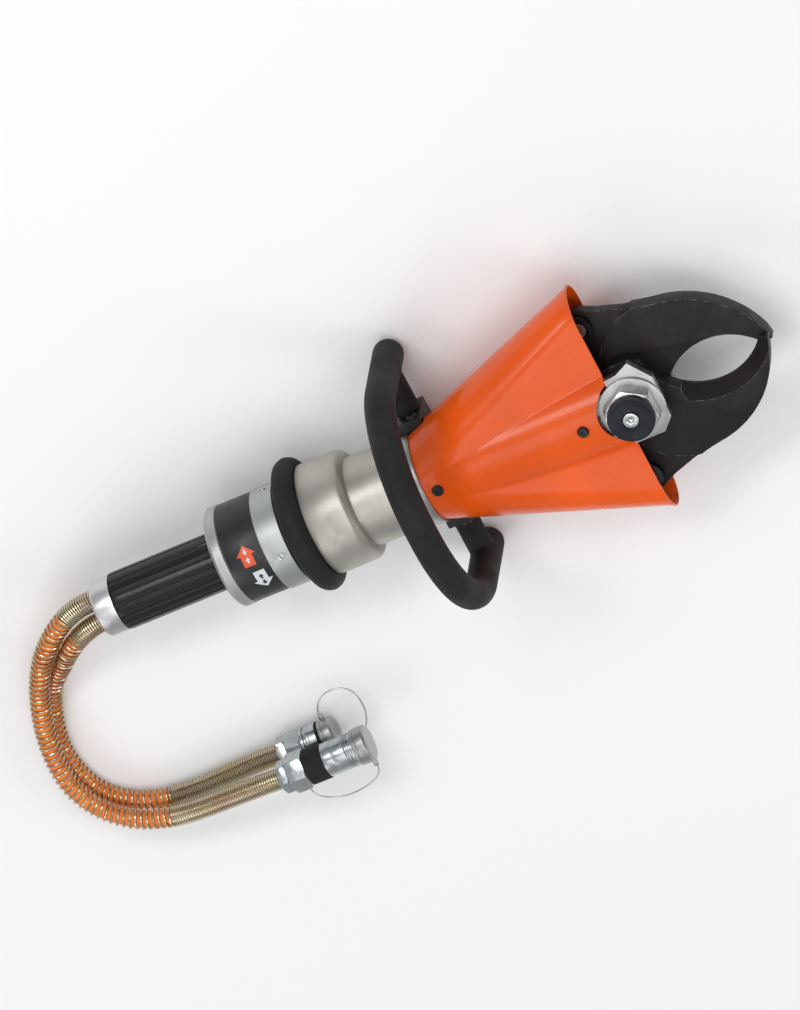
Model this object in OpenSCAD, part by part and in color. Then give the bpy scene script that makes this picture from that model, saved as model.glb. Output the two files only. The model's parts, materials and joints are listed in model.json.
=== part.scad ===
// Hydraulic rescue cutter, lying on its side with the bow handle up.
// X runs along the tool towards the blade tips, Z is up, and the pivot axis is vertical.

/* [Overall] */
// Height of the tool's axis above the surface it lies on
axis_z = 69; // [69:1:72]
// Distance from the origin to the pivot axis
pivot_x = 218; // [216:1:220]

/* [Control end] */
// Radius of the aluminium end cap
cap_r = 29; // [28:0.5:30]
// Radius over the ribs of the control grip
grip_r = 29.5; // [28.5:0.5:31]
// Number of grooves along the control grip
grip_grooves = 14; // [8:1:20]
// Radius of the valve housing
housing_r = 52; // [51:0.5:53]
// Radius of the rubber ring's centre line
bumper_r = 57.5; // [57:0.5:58]
// Radius of the rubber ring's section
bumper_tube_r = 11.5; // [11:0.5:11.5]

/* [Cylinder] */
// Radius of the cylinder's thick collar
collar_r = 57; // [55:0.5:60]
// Outer radius of the cylinder barrel
barrel_r = 46; // [45.5:0.5:46]
// Radius of the cylinder bore
bore_r = 38; // [37:0.5:38]
// Radius of the piston rod
rod_r = 16; // [14:1:16]

/* [Guard] */
// Radius of the guard at its rear end
guard_rear_r = 47.5; // [47.5:0.5:48]
// Half width of the guard's mouth
guard_mouth_y = 126; // [124:1:130]
// Half thickness of the guard's mouth
guard_mouth_z = 30; // [30:0.5:32]
// Radius of the raised middle of the guard at its mouth
guard_bulge_r = 50.5; // [50:0.5:51]
// Thickness of the guard's sheet
sheet_t = 2; // [1.5:0.5:2]

/* [Blades] */
// Thickness of one blade
blade_t = 20; // [19:0.5:20]
// Thickness of a blade's root
root_t = 12; // [12:0.5:12.5]
// Radius from the pivot to a blade's root pin
pin_arm = 84; // [84:0.5:85]
// Angle of the upper root pin from the X axis, in degrees
pin_angle = 106; // [105:1:107]
// Distance between the two pins of a link
link_l = 92; // [91:1:94]
// Distance of a crosshead pin from the tool's axis
crosshead_y = 18; // [18:1:19]

/* [Handle] */
// Radius of the handle's rubber cover
cover_r = 15.5; // [14.5:0.5:15.5]
// Radius of the handle's steel tube
tube_r = 11.5; // [10:0.5:12]
// Half width of the bow, on its centre line
bow_y = 111; // [110:1:114]
// Height of the bow above the tool's axis, on its centre line
bow_z = 139; // [136:1:141]
// Radius of the bow's bends
bow_bend = 104; // [90:1:106]
// Depth of the bow's arms below the tool's axis
arm_z = 22; // [20:1:26]
// Depth of the bow's legs below the tool's axis, on their centre line
leg_z = 53; // [48:1:53]

/* [Hoses] */
// Radius of a hose
hose_r = 8.5; // [8:0.5:8.5]
// Outer radius of a hose's spring guard
spring_r = 11; // [10.5:0.5:11]
// Distance of a hose port from the tool's axis
port_y = 11.5; // [11.5:0.1:11.8]

/* [Hidden] */
$fn = 72;

// Stations along the tool's axis
cap_x = -363;
grip_x = -341.5;
rim_x = -227;
band_x = -214;
grey_x = -176;
groove_x = -148;
bumper_x = -136;
housing_end_x = -126;
collar_x0 = -124;
collar_x1 = -77;
flange_x0 = -14;
flange_x1 = -5;
yoke_base_x = 20;
guard_x1 = 203;
core_r = 22;
core_bore_r = 18;
run = 0.05;

// Levels across the blades, measured from the tool's axis
blade_gap = 0.2;
hub_boss_z = 27.5;
ear_z0 = 30;
ear_z1 = 40;
beam_z1 = 38;
washer_z1 = 44;
nut_z1 = 60;
lock_cap_z1 = 67;
bolt_r = 15;
boss_r = 29;
ear_y = 24;
root_z0 = (blade_t - root_t) / 2;
plate_gap = 0.5;
plate_t = 8;
link_pin_r = 7;
blade_pin_r = 8;
link_eye_r = 14;
// Radius of the slack eye where the closed linkage is left open
slack_eye_r = 10.6;

blade_pin = [pin_arm * cos(pin_angle), pin_arm * sin(pin_angle)];
crosshead_x = blade_pin[0] - sqrt(pow(link_l, 2) - pow(blade_pin[1] - crosshead_y, 2));
crosshead_back = crosshead_x - 40;
crosshead_front = crosshead_x - 18.5;

// Piston, placed so that it clears both ends of the bore over its stroke
piston_x0 = -52;
piston_x1 = -30;
seal_x0 = -44;
seal_x1 = -38;
nut_x0 = -60;
bore_x0 = -120;

// Coupler axes and stations
coupler_a = [-288, -243, 54.5];
coupler_b = [-288, -234, 17.5];
cap_a_x = 82;
cap_b_x = 47;

// Routes of the hoses and lanyards, in row coordinates
hose_a_route = [
    [-355, 11.5, 69], [-370, 11.5, 69], [-388, 8.5, 68], [-406, 0.5, 65], [-427, -15, 58],
    [-449, -38, 48], [-468, -69, 39], [-482, -105, 35], [-489, -142, 33.5], [-487, -177, 33.5],
    [-473, -208, 33.5], [-448, -231, 34.5], [-416, -242.5, 38], [-382, -245, 43],
    [-348, -244, 48], [-315, -243, 52.5], [-288, -243, 54.5]
];
hose_b_route = [
    [-355, -11.5, 69], [-368, -12, 69], [-382, -15, 67], [-397, -21.5, 62], [-414, -33, 52],
    [-434, -51, 34], [-459, -76, 18], [-476, -109, 11.3], [-484, -143.5, 11], [-481, -175, 11],
    [-468, -203, 11], [-445, -223, 11], [-415, -234, 11.2], [-381, -237, 12],
    [-347, -236, 13.5], [-314, -234, 16], [-288, -234, 17.5]
];
lanyard_a_route = [
    [-196, -265.8, 54.5], [-196, -271, 53], [-200, -279, 49.5], [-210, -286, 46],
    [-223, -290, 44], [-237, -291, 43], [-251, -289, 42], [-262, -283, 43], [-268, -275, 45],
    [-269, -267, 47], [-268, -260.8, 49]
];
lanyard_b_route = [
    [-234, -213.1, 17.5], [-233, -206, 20], [-228, -197, 22], [-218, -190, 24], [-206, -189, 25],
    [-196, -193, 25], [-190, -202, 24], [-189, -214, 22], [-191, -227, 19], [-198, -241, 14.5],
    [-209, -254, 11], [-226, -258, 9], [-241, -258, 9], [-254, -256, 11], [-262, -250.2, 14]
];

// A cylinder along X between two stations on the tool's axis
module along(r, x0, x1) {
    translate([x0, 0, axis_z]) rotate([0, 90, 0]) cylinder(r = r, h = x1 - x0);
}

// A ring along X between two stations on the tool's axis
module ring_along(r_out, r_in, x0, x1) {
    difference() {
        along(r_out, x0, x1);
        along(r_in, x0 - 1, x1 + 1);
    }
}

// A body turned about the tool's axis from an outline of [radius, station]
module turned(outline, at = [0, 0, axis_z]) {
    translate(at) rotate([0, 90, 0]) rotate_extrude() polygon(outline);
}

module at_pivot() {
    translate([pivot_x, 0, axis_z]) children();
}

// Children on both sides of the blade plane
module both_faces() {
    children();
    mirror([0, 0, 1]) children();
}

function unit(v) = v / norm(v);

function path_direction(p, i) =
    unit(p[min(i + 1, len(p) - 1)] - p[max(i - 1, 0)]);

// One ring of points round point i of a route, level with the ground where it can be
function path_ring(p, i, r, sides) =
    let (
        t = path_direction(p, i),
        side = unit(cross(t, [0, 0, 1])),
        up = cross(side, t)
    )
    [for (k = [0:sides - 1]) let (a = 360 * k / sides) p[i] + r * (cos(a) * side + sin(a) * up)];

function ring_faces(n, sides, offset, flip) = [
    for (i = [0:n - 2]) for (k = [0:sides - 1])
        let (
            a = offset + i * sides + k,
            b = offset + i * sides + (k + 1) % sides
        )
        flip ? [a, a + sides, b + sides, b] : [a, b, b + sides, a + sides]
];

// A round tube swept along a route
module swept(p, r, sides) {
    n = len(p);
    points = [for (i = [0:n - 1]) each path_ring(p, i, r, sides)];
    start = [for (k = [0:sides - 1]) sides - 1 - k];
    end = [for (k = [0:sides - 1]) (n - 1) * sides + k];
    polyhedron(points, concat([start, end], ring_faces(n, sides, 0, false)), convexity = 8);
}

// A hollow sleeve swept along a route
module swept_sleeve(p, r_out, r_in, sides) {
    n = len(p);
    inner = n * sides;
    points = concat(
        [for (i = [0:n - 1]) each path_ring(p, i, r_out, sides)],
        [for (i = [0:n - 1]) each path_ring(p, i, r_in, sides)]
    );
    last = (n - 1) * sides;
    ends = [
        for (k = [0:sides - 1]) let (j = (k + 1) % sides) each [
            [k, inner + k, inner + j, j],
            [last + j, inner + last + j, inner + last + k, last + k]
        ]
    ];
    faces = concat(ring_faces(n, sides, 0, false), ring_faces(n, sides, inner, true), ends);
    polyhedron(points, faces, convexity = 8);
}

// ---------- control end ----------

module end_cap() {
    color("gainsboro") difference() {
        turned([
            [0, cap_x], [cap_r - 2, cap_x], [cap_r, cap_x + 2],
            [cap_r, cap_x + 21], [0, cap_x + 21]
        ]);
        along(core_r + 0.02, cap_x + 12, cap_x + 22);
        for (y = [-port_y, port_y]) translate([0, y, 0]) {
            along(spring_r + 0.3, cap_x - 1, cap_x + 8);
            along(5.05, cap_x + 7, cap_x + 13);
        }
    }
}

module hose_nipples() {
    color("darkgoldenrod") for (y = [-port_y, port_y]) translate([0, y, 0]) {
        along(5, cap_x + 8, cap_x + 12);
        along(6, cap_x + 12, cap_x + 18);
    }
}

module oil_tubes() {
    color("silver") for (y = [-port_y, port_y]) translate([0, y, 0]) {
        along(4, cap_x + 18, band_x + 9);
    }
}

module grip_core() {
    color("silver") ring_along(core_r, core_bore_r, cap_x + 12, band_x);
}

module control_grip() {
    groove_r = 2.4;
    color([0.1, 0.1, 0.1]) difference() {
        union() {
            along(grip_r, grip_x, rim_x - 0.5);
            along(27, rim_x - 1, rim_x + 5);
        }
        along(core_r + run, grip_x - 1, rim_x + 6);
        for (i = [0:grip_grooves - 1]) {
            translate([0, 0, axis_z]) rotate([360 * i / grip_grooves, 0, 0])
                translate([grip_x - 1, 0, grip_r + 1.4]) rotate([0, 90, 0])
                    cylinder(r = groove_r, h = 200, $fn = 24);
        }
    }
}

module valve_rotor() {
    color("peru") difference() {
        ring_along(33, core_r + run, rim_x + 5, rim_x + 11);
        for (a = [0, 180]) rotor_notch(a);
    }
}

module rotor_notch(a) {
    translate([rim_x, 0, axis_z]) rotate([a, 0, 0]) translate([0, -4, 28]) cube([20, 8, 10]);
}

module housing_rim() {
    color("lightgray") difference() {
        turned([
            [0, rim_x], [housing_r - 2, rim_x], [housing_r - 0.5, rim_x + 1.5],
            [housing_r - 0.5, band_x], [0, band_x]
        ]);
        along(27.4, rim_x - 1, rim_x + 6);
        along(34, rim_x + 4.7, band_x + 1);
    }
}

module valve_housing() {
    color("lightgray") difference() {
        turned([
            [0, band_x], [housing_r - 2.2, band_x], [housing_r - 2.2, grey_x],
            [housing_r, grey_x + 1], [housing_r, groove_x - 4], [housing_r - 6.1, groove_x],
            [housing_r - 6.1, housing_end_x], [0, housing_end_x]
        ]);
        along(36, band_x - 1, -138);
        housing_screw_places() cylinder(r = 3.1, h = 20);
    }
}

// The four places round the grey part of the housing, each with Z pointing outwards
module housing_screw_places() {
    for (a = [0:90:270]) {
        translate([-161, 0, axis_z]) rotate([a, 0, 0]) translate([0, 0, housing_r - 6]) children();
    }
}

module housing_screws() {
    color("silver") housing_screw_places() difference() {
        cylinder(r = 3, h = 6.8);
        translate([0, 0, 4.5]) cylinder(r = 1.5, h = 4, $fn = 6);
    }
}

module label_band() {
    color([0.12, 0.12, 0.13]) {
        ring_along(housing_r - 1.3, housing_r - 2.15, band_x + 0.3, grey_x - 0.3);
    }
}

module valve_block() {
    color("darkgray") along(35.8, band_x + 9, -138.2);
}

// Closed turns of the torsion spring that centres the grip
module grip_return_spring() {
    color("dimgray") for (i = [0:2]) {
        translate([band_x + 1.6 + 2.6 * i, 0, axis_z]) rotate([0, 90, 0])
            rotate_extrude() translate([27, 0]) circle(r = 1.2, $fn = 24);
    }
}

module bumper_ring() {
    color([0.09, 0.09, 0.09]) translate([bumper_x, 0, axis_z]) rotate([0, 90, 0])
        rotate_extrude($fn = 96) translate([bumper_r, 0]) circle(r = bumper_tube_r, $fn = 48);
}

// ---------- cylinder ----------

module cylinder_collar() {
    lip = 9;
    arc = [
        for (a = [0:15:90])
            [collar_r - lip + lip * cos(a), collar_x1 - lip + lip * sin(a)]
    ];
    color([0.72, 0.7, 0.66]) turned(concat(
        [[barrel_r + 0.02, collar_x0], [collar_r - 1, collar_x0], [collar_r, collar_x0 + 1]],
        arc,
        [[barrel_r + 0.02, collar_x1]]
    ));
}

module cylinder_barrel() {
    color([0.72, 0.7, 0.66]) difference() {
        along(barrel_r, housing_end_x, flange_x0);
        along(bore_r, bore_x0, flange_x0 + 1);
        yoke_bolt_places() along(2.55, -34, 0);
    }
}

module front_flange() {
    color("gainsboro") difference() {
        along(49, flange_x0, flange_x1);
        along(22.02, flange_x0 - 1, flange_x1 + 1);
        yoke_bolt_places() along(2.55, -34, 0);
    }
}

module rod_gland() {
    color("darkgoldenrod") ring_along(22, rod_r + run, flange_x0, flange_x1);
}

module piston() {
    color("silver") difference() {
        along(bore_r - run, piston_x0, piston_x1);
        along(rod_r + 0.02, piston_x0 - 1, piston_x1 + 1);
        ring_along(bore_r + 1, bore_r - 3, seal_x0, seal_x1);
    }
}

module piston_seal() {
    color([0.1, 0.1, 0.1]) ring_along(bore_r - run, bore_r - 2.95, seal_x0 + 0.1, seal_x1 - 0.1);
}

module piston_rod() {
    color("gainsboro") along(rod_r, nut_x0 - 1, pivot_x + crosshead_back);
}

module piston_nut() {
    color("dimgray") difference() {
        translate([nut_x0, 0, axis_z]) rotate([0, 90, 0])
            cylinder(r = 26, h = piston_x0 - nut_x0, $fn = 6);
        along(rod_r + 0.02, nut_x0 - 1, piston_x0 + 1);
    }
}

// ---------- linkage ----------

// The crosshead's lug for the upper blade's link lies below the middle plane
module crosshead_lug() {
    translate([0, 0, -root_z0 - root_t]) difference() {
        union() {
            translate([crosshead_front - 1, crosshead_y - 12, 0])
                cube([crosshead_x - crosshead_front + 1, 24, root_t]);
            translate([crosshead_x, crosshead_y, 0]) cylinder(r = 12, h = root_t);
        }
        translate([crosshead_x, crosshead_y, -1]) cylinder(r = link_pin_r, h = root_t + 2);
    }
}

module crosshead() {
    depth = crosshead_front - crosshead_back;
    color("dimgray") at_pivot() {
        translate([crosshead_back, -31, -20]) cube([depth, 62, 40]);
        crosshead_lug();
        rotate([180, 0, 0]) crosshead_lug();
    }
}

// Bottom and top levels of the stack of two link plates round a lug
link_z0 = -root_z0 - root_t - plate_gap - plate_t;
link_z1 = -root_z0 + plate_gap + plate_t;

module crosshead_pins() {
    color("silver") at_pivot() for (a = [0, 180]) rotate([a, 0, 0]) {
        translate([crosshead_x, crosshead_y, link_z0]) cylinder(r = link_pin_r, h = link_z1 - link_z0);
    }
}

// One link of two equal plates, from the blade's root pin to the crosshead
module link() {
    angle = atan2(crosshead_y - blade_pin[1], crosshead_x - blade_pin[0]);
    for (z = [link_z0, link_z1 - plate_t]) translate([blade_pin[0], blade_pin[1], z]) {
        rotate([0, 0, angle]) difference() {
            union() {
                cylinder(r = link_eye_r, h = plate_t);
                translate([link_l, 0, 0]) cylinder(r = link_eye_r, h = plate_t);
                translate([0, -10, 0]) cube([link_l, 20, plate_t]);
            }
            translate([0, 0, -1]) cylinder(r = blade_pin_r + run, h = plate_t + 2);
            translate([link_l, 0, -1]) cylinder(r = slack_eye_r, h = plate_t + 2);
        }
    }
}

module link_upper() {
    color("slategray") at_pivot() link();
}

module link_lower() {
    color("slategray") at_pivot() rotate([180, 0, 0]) link();
}

module blade_pin_solid() {
    translate([blade_pin[0], blade_pin[1], link_z0]) cylinder(r = blade_pin_r, h = link_z1 - link_z0);
}

module blade_pin_upper() {
    color("silver") at_pivot() blade_pin_solid();
}

module blade_pin_lower() {
    color("silver") at_pivot() rotate([180, 0, 0]) blade_pin_solid();
}

// ---------- blades ----------

jaw_centre = [44.2, -27.5];
jaw_r = 103.5;
throat_centre = [84, -42];
throat_r = 63;
step_centre = [45, 10];
step_r = 71;
tip_overlap = 4;

// Outline of the upper blade about the pivot: hub, root, curved back and hollow throat
module blade_outline() {
    difference() {
        union() {
            circle(r = 40, $fn = 96);
            polygon([
                [0, 0], [-34, 20], [-36, 66], [-41, 82], [-38, 92], [-30, 98], [-18, 98.5],
                [0, 90], [25, 82], [45, 77.2], [60, 74.5], [60, 0]
            ]);
            intersection() {
                translate(jaw_centre) circle(r = jaw_r, $fn = 180);
                translate([0, -tip_overlap]) square([150, 120]);
            }
        }
        translate(throat_centre) circle(r = throat_r, $fn = 180);
    }
}

module blade() {
    difference() {
        union() {
            translate([0, 0, -blade_t]) linear_extrude(blade_t - blade_gap) intersection() {
                blade_outline();
                union() {
                    translate(step_centre) circle(r = step_r, $fn = 180);
                    translate([60, -20]) square([100, 120]);
                }
            }
            translate([0, 0, -root_z0 - root_t]) linear_extrude(root_t) blade_outline();
            translate([0, 0, -hub_boss_z]) cylinder(r = boss_r, h = hub_boss_z - root_z0);
        }
        translate([0, 0, -50]) cylinder(r = bolt_r + run, h = 60);
        translate([blade_pin[0], blade_pin[1], -50]) cylinder(r = blade_pin_r, h = 60);
    }
}

module blade_upper() {
    color([0.15, 0.14, 0.13]) at_pivot() blade();
}

module blade_lower() {
    color([0.15, 0.14, 0.13]) at_pivot() rotate([180, 0, 0]) blade();
}

// ---------- yoke and pivot ----------

module yoke_bolt_places() {
    for (a = [12:60:312]) {
        translate([0, 0, axis_z]) rotate([a, 0, 0]) translate([0, 0, 41 - axis_z]) children();
    }
}

// Faceted ear of the yoke round the pivot, cut square in front
module ear_outline() {
    polygon([
        [-14, 36], [0, 38], [14.5, 45], [31, 22], [30, -23], [17.5, -35.5], [-14, -35.5]
    ]);
}

module yoke() {
    beam_x0 = yoke_base_x - 5 - pivot_x;
    color("lightgray") difference() {
        union() {
            along(45.2, flange_x1, yoke_base_x);
            at_pivot() both_faces() {
                translate([beam_x0, -ear_y, ear_z0])
                    cube([-beam_x0, 2 * ear_y, beam_z1 - ear_z0]);
                translate([0, 0, ear_z0]) linear_extrude(ear_z1 - ear_z0) ear_outline();
            }
        }
        along(rod_r + 1, flange_x1 - 1, yoke_base_x + 1);
        at_pivot() translate([0, 0, -50]) cylinder(r = bolt_r + run, h = 100);
        yoke_bolt_places() {
            along(2.55, -34, 30);
            along(4, 14, 30);
        }
        guard_screw_places() translate([0, 0, -20]) cylinder(r = 3.05, h = 30);
        handle_bolt_places() cylinder(r = 3.05, h = 60);
    }
}

module yoke_bolts() {
    color("dimgray") yoke_bolt_places() {
        along(2.5, -32, 14);
        along(3.9, 14, 19.5);
    }
}

module thrust_washers() {
    color("darkgoldenrod") at_pivot() both_faces() translate([0, 0, hub_boss_z + 0.3])
        difference() {
            cylinder(r = boss_r, h = 2.2);
            translate([0, 0, -1]) cylinder(r = bolt_r + 0.1, h = 5);
        }
}

module centre_bolt() {
    color("silver") at_pivot() translate([0, 0, -nut_z1]) cylinder(r = bolt_r, h = 2 * nut_z1);
}

module pivot_washers() {
    color("gainsboro") at_pivot() both_faces() translate([0, 0, ear_z1]) difference() {
        cylinder(r = 33, h = washer_z1 - ear_z1);
        translate([0, 0, -1]) cylinder(r = bolt_r + 0.02, h = 10);
    }
}

// Large hexagon nut with turned corners
module pivot_nut() {
    h = nut_z1 - washer_z1;
    translate([0, 0, washer_z1]) difference() {
        intersection() {
            rotate([0, 0, 30]) cylinder(r = 28.3, h = h, $fn = 6);
            rotate_extrude() polygon([[0, 0], [29, 0], [29, h - 2.5], [25, h], [0, h]]);
        }
        translate([0, 0, -1]) cylinder(r = bolt_r + 0.02, h = h + 2);
    }
}

module pivot_nut_front() {
    color("silver") at_pivot() pivot_nut();
}

module pivot_nut_back() {
    color("silver") at_pivot() mirror([0, 0, 1]) pivot_nut();
}

module lock_cap_front() {
    color([0.17, 0.17, 0.18]) at_pivot() translate([0, 0, nut_z1]) difference() {
        rotate_extrude() polygon([
            [0, 0], [23.6, 0], [23.6, lock_cap_z1 - nut_z1 - 1],
            [22.6, lock_cap_z1 - nut_z1], [0, lock_cap_z1 - nut_z1]
        ]);
        translate([0, 0, 4]) cylinder(r = 7.8, h = 10);
    }
}

module lock_cap_back() {
    h = axis_z - nut_z1;
    color([0.17, 0.17, 0.18]) at_pivot() mirror([0, 0, 1]) translate([0, 0, nut_z1])
        rotate_extrude() polygon([[0, 0], [23.6, 0], [23.6, h - 1], [22.6, h], [0, h]]);
}

module lock_screw() {
    color("gainsboro") at_pivot() translate([0, 0, nut_z1 + 4]) difference() {
        cylinder(r = 7.7, h = 5.2);
        translate([0, 0, 2.5]) cylinder(r = 2.9, h = 4, $fn = 6);
    }
}

// ---------- guard ----------

// The guard's outer form, drawn in by a margin for its inside
module guard_form(inset, over) {
    x0 = flange_x1 - over;
    x1 = guard_x1 + over;
    wing_r = guard_mouth_z - inset;
    hull() {
        along(guard_rear_r - inset, x0, x0 + 0.5, $fn = 64);
        for (y = [-1, 1]) translate([0, y * (guard_mouth_y - guard_mouth_z), 0])
            along(wing_r, x1 - 0.5, x1, $fn = 48);
    }
    translate([x0, 0, axis_z]) rotate([0, 90, 0])
        cylinder(r1 = guard_rear_r - inset, r2 = guard_bulge_r - inset, h = x1 - x0);
}

// The places of the guard's fasteners on the middle line, with Z pointing outwards
module guard_screw_places() {
    for (x = [8, 165]) translate([x, 0, axis_z]) both_faces() translate([0, 0, 38]) children();
}

module guard() {
    color("orangered") difference() {
        guard_form(0, 0);
        guard_form(sheet_t, 1);
        at_pivot() translate([0, 0, -80]) cylinder(r = 35, h = 160);
        for (side = [0, 1]) mirror([0, side, 0])
            translate([flange_x1 - 1, 30, axis_z - 47.6]) cube([19.6, 40, 50.2]);
        guard_screw_places() cylinder(r = 3.3, h = 20);
    }
}

module guard_spacers() {
    color("silver") translate([165, 0, axis_z]) both_faces() translate([0, 0, beam_z1])
        difference() {
            cylinder(r = 6, h = 8.6);
            translate([0, 0, -1]) cylinder(r = 3.1, h = 12);
        }
}

module guard_screws() {
    color([0.08, 0.08, 0.08]) for (x = [8, 165]) translate([x, 0, axis_z]) both_faces() {
        lift = guard_rear_r + (guard_bulge_r - guard_rear_r) * (x - flange_x1) / (guard_x1 - flange_x1);
        translate([0, 0, lift - 18]) cylinder(r = 3, h = 18.1);
        translate([0, 0, lift]) difference() {
            cylinder(r1 = 6, r2 = 4.6, h = 3);
            translate([0, 0, 1.2]) cylinder(r = 1.9, h = 3, $fn = 6);
        }
    }
}

// ---------- handle ----------

// One half of the bow: half the top, a bend, a leg with a round end and a thinner arm
module half_bow(r, arm_end) {
    arm_r = r - 2.5;
    leg_top = bow_z - bow_bend;
    top_y = bow_y - bow_bend;
    translate([0, 0, axis_z]) {
        translate([0, 0, bow_z]) rotate([-90, 0, 0]) cylinder(r = r, h = top_y);
        translate([0, top_y, leg_top]) rotate([90, 0, 90]) rotate_extrude(angle = 90)
            translate([bow_bend, 0]) circle(r = r, $fn = 48);
        translate([0, bow_y, -leg_z]) cylinder(r = r, h = leg_top + leg_z);
        translate([0, bow_y, -leg_z]) sphere(r = r);
        translate([0, arm_end, -arm_z]) rotate([-90, 0, 0])
            cylinder(r = arm_r, h = bow_y - arm_end);
    }
}

module bow(r, arm_end) {
    half_bow(r, arm_end);
    mirror([0, 1, 0]) half_bow(r, arm_end);
}

module handle_tube() {
    color("silver") bow(tube_r, 60);
}

module handle_cover() {
    color([0.14, 0.14, 0.14]) difference() {
        bow(cover_r, 60.2);
        bow(tube_r + 0.02, 59);
    }
}

// The places of the handle's bolts, with Z pointing outwards
module handle_bolt_places() {
    for (side = [0, 1]) mirror([0, side, 0])
        translate([5, 30, axis_z - 4]) rotate([-90, 0, 0]) children();
}

module handle_feet() {
    color([0.1, 0.1, 0.1]) difference() {
        for (side = [0, 1]) mirror([0, side, 0])
            translate([-13, 34, axis_z - 47]) cube([26, 26, 49]);
        along(49.3, -20, flange_x1 + 0.2);
        along(45.35, flange_x1, 30);
        handle_bolt_places() cylinder(r = 3.05, h = 60);
    }
}

module handle_bolts() {
    color("dimgray") handle_bolt_places() {
        cylinder(r = 3, h = 30);
        translate([0, 0, 30]) difference() {
            cylinder(r1 = 5.5, r2 = 4.5, h = 4);
            translate([0, 0, 1.6]) cylinder(r = 2, h = 4, $fn = 6);
        }
    }
}

// ---------- hoses and couplers ----------

module hose_a() {
    color("darkorange") swept(hose_a_route, hose_r, 12);
}

module hose_b() {
    color("darkorange") swept(hose_b_route, hose_r, 12);
}

module spring_guard_a() {
    color("goldenrod") swept_sleeve(hose_a_route, spring_r, hose_r + 0.3, 12);
}

module spring_guard_b() {
    color("goldenrod") swept_sleeve(hose_b_route, spring_r, hose_r + 0.3, 12);
}

// A cylinder along X on a coupler's own axis, from its hose end
module coupler_rod(at, r, x0, x1) {
    translate(at + [x0, 0, 0]) rotate([0, 90, 0]) cylinder(r = r, h = x1 - x0);
}

// A hexagon along X on a coupler's own axis, turned about it by an angle
module coupler_hex(at, r, x0, x1, turn) {
    translate(at + [x0, 0, 0]) rotate([turn, 0, 0]) rotate([0, 90, 0])
        cylinder(r = r, h = x1 - x0, $fn = 6);
}

module hose_nut_a() {
    color("lightsteelblue") coupler_hex(coupler_a, 17, 0, 10, 0);
}

module hose_nut_b() {
    color("lightsteelblue") coupler_hex(coupler_b, 16, 0, 10, 0);
}

// Socket half of the coupling, with a bore for its dust plug
module coupler_body_a() {
    color("lightsteelblue") difference() {
        union() {
            coupler_hex(coupler_a, 20.5, 10, 29, 0);
            coupler_rod(coupler_a, 14, 29, 74);
            coupler_rod(coupler_a, 17.4, 74, 78);
            coupler_rod(coupler_a, 15.8, 78, 80);
            coupler_rod(coupler_a, 17.4, 80, cap_a_x);
        }
        coupler_rod(coupler_a, 10.05, 60, 90);
    }
}

module coupler_sleeve_a() {
    color("lightsteelblue") difference() {
        union() {
            coupler_rod(coupler_a, 18.4, 29.3, 49);
            coupler_rod(coupler_a, 17.4, 48, 73.7);
        }
        coupler_rod(coupler_a, 14.06, 28, 75);
    }
}

// Plug half of the coupling, with its nipple
module coupler_body_b() {
    color("lightsteelblue") difference() {
        union() {
            coupler_hex(coupler_b, 18.3, 10, 27, 30);
            coupler_rod(coupler_b, 16.8, 26.5, 30);
            coupler_rod(coupler_b, 14.5, 29.5, 33.5);
            coupler_rod(coupler_b, 17.5, 33, 36);
            coupler_rod(coupler_b, 16.8, 35.5, 44);
            coupler_rod(coupler_b, 10, 43.5, 57);
        }
        coupler_rod(coupler_b, 4, 30, 60);
    }
}

module coupler_seal_b() {
    color([0.08, 0.08, 0.08]) difference() {
        coupler_rod(coupler_b, 16.2, 44, 46.6);
        coupler_rod(coupler_b, 10.02, 43, 48);
    }
}

module dust_cap_a() {
    color("darkgray") {
        turned([
            [0, 0], [19, 0], [19, 13], [17, 15], [0, 15]
        ], coupler_a + [cap_a_x, 0, 0]);
        coupler_rod(coupler_a, 10, cap_a_x - 14, cap_a_x);
        crimp(coupler_a + [92, 0, 0], 19);
    }
}

module dust_cap_b() {
    color("darkgray") {
        difference() {
            turned([
                [0, 0], [17.3, 0], [17.3, 12], [15.5, 14], [0, 14]
            ], coupler_b + [cap_b_x, 0, 0]);
            coupler_rod(coupler_b, 10.05, cap_b_x - 1, 57.3);
        }
        mirror_y_at(coupler_b) crimp(coupler_b + [54, 0, 0], 17.3);
    }
}

module mirror_y_at(at) {
    translate([0, at[1], 0]) mirror([0, 1, 0]) translate([0, -at[1], 0]) children();
}

// Small sleeve that holds a lanyard's end on a cap's rim
module crimp(at, r) {
    translate(at + [0, -r + 0.6, 0]) rotate([90, 0, 0]) cylinder(r = 2.2, h = 4);
}

module lanyard_a() {
    color("silver") swept(lanyard_a_route, 0.8, 8);
}

module lanyard_b() {
    color("silver") swept(lanyard_b_route, 0.8, 8);
}

end_cap();
hose_nipples();
oil_tubes();
grip_core();
control_grip();
valve_rotor();
housing_rim();
valve_housing();
label_band();
valve_block();
grip_return_spring();
housing_screws();
bumper_ring();
cylinder_collar();
cylinder_barrel();
front_flange();
rod_gland();
piston();
piston_seal();
piston_rod();
piston_nut();
crosshead();
crosshead_pins();
link_upper();
link_lower();
blade_upper();
blade_lower();
blade_pin_upper();
blade_pin_lower();
yoke();
yoke_bolts();
thrust_washers();
centre_bolt();
pivot_washers();
pivot_nut_front();
pivot_nut_back();
lock_cap_front();
lock_cap_back();
lock_screw();
guard();
guard_spacers();
guard_screws();
handle_tube();
handle_cover();
handle_feet();
handle_bolts();
hose_a();
hose_b();
spring_guard_a();
spring_guard_b();
hose_nut_a();
hose_nut_b();
coupler_body_a();
coupler_body_b();
coupler_sleeve_a();
coupler_seal_b();
dust_cap_a();
dust_cap_b();
lanyard_a();
lanyard_b();
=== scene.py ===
"""Looks of a hydraulic rescue cutter lying on its side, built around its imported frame."""

import json
import math

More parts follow.
